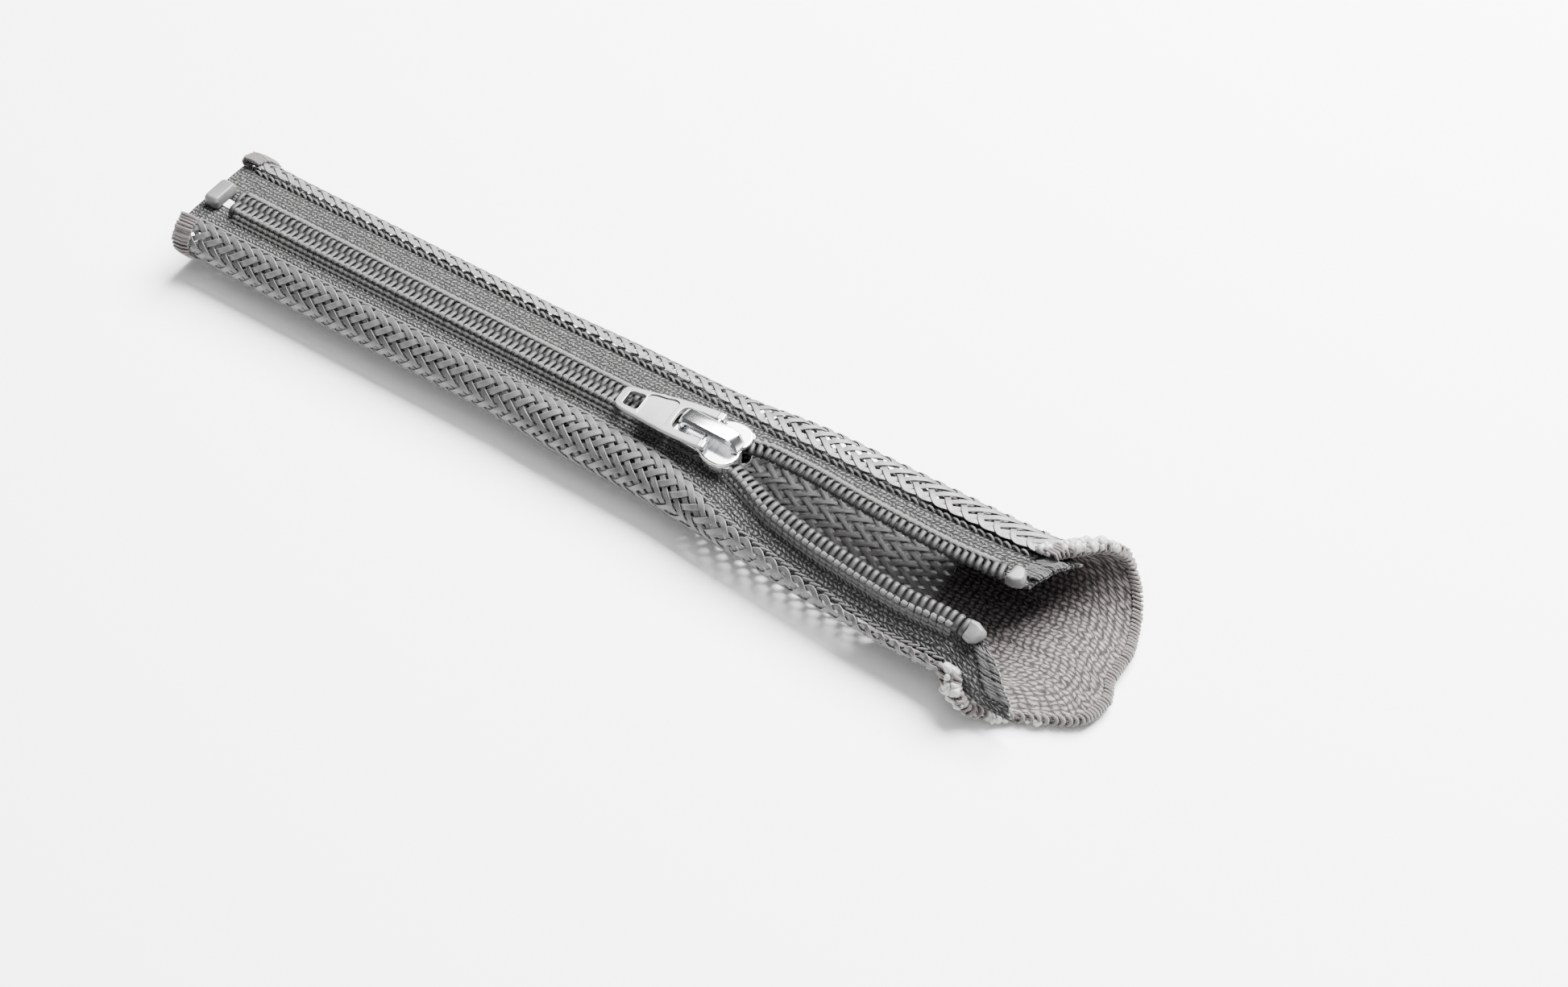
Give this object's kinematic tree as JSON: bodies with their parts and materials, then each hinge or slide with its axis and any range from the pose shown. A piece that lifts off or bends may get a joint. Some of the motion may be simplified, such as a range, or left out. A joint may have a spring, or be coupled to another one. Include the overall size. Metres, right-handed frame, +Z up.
{
  "type": "zippered cable sleeve",
  "caption": "Grey braided cable sleeve with a coil zip along its top, unzipped over the front end; metal slider with a swinging pull. About 210 mm long and 30 mm wide.",
  "frame": {"origin": "on the flat strip under the sleeve where it rests, below the zip's middle line and halfway along the sleeve", "axes": "+X along the sleeve to its open end, +Y to the side of the flap that stays nearly closed, +Z up out of the zip"},
  "size_m": [0.2138, 0.0443, 0.0185],
  "materials": {
    "braid": "matte, finely ribbed",
    "tape": "matte fabric",
    "coil": "semi-matte",
    "stop": "smooth satin",
    "hem": "matte, ribbed",
    "nickel": "polished",
    "satin": "satin"
  },
  "bodies": {
    "sleeve": {"braided_wall": "braid", "zip_tape_near": "tape", "zip_tape_far": "tape", "zip_coil_near": "coil", "zip_coil_far": "coil", "top_stop_near": "stop", "top_stop_far": "stop", "bottom_stop": "stop", "front_hem": "hem", "rear_hem": "hem"},
    "slider": {"slider_body": "nickel", "slider_cap": "nickel", "lock_pawl": "nickel"},
    "pull": {"pull_tab": "satin"}
  },
  "joints": [
    {"name": "slider_travel", "type": "slide", "parent": "sleeve", "child": "slider", "axis": [1, 0, 0], "range_m": [-0.105, 0], "deforming": ["zip_coil_near", "zip_coil_far"]},
    {"name": "pull_swing", "type": "hinge", "parent": "slider", "child": "pull", "pos_m": [0.01975, 0, 0.0166], "axis": [0, 1, 0], "range_deg": [0, 170]}
  ]
}
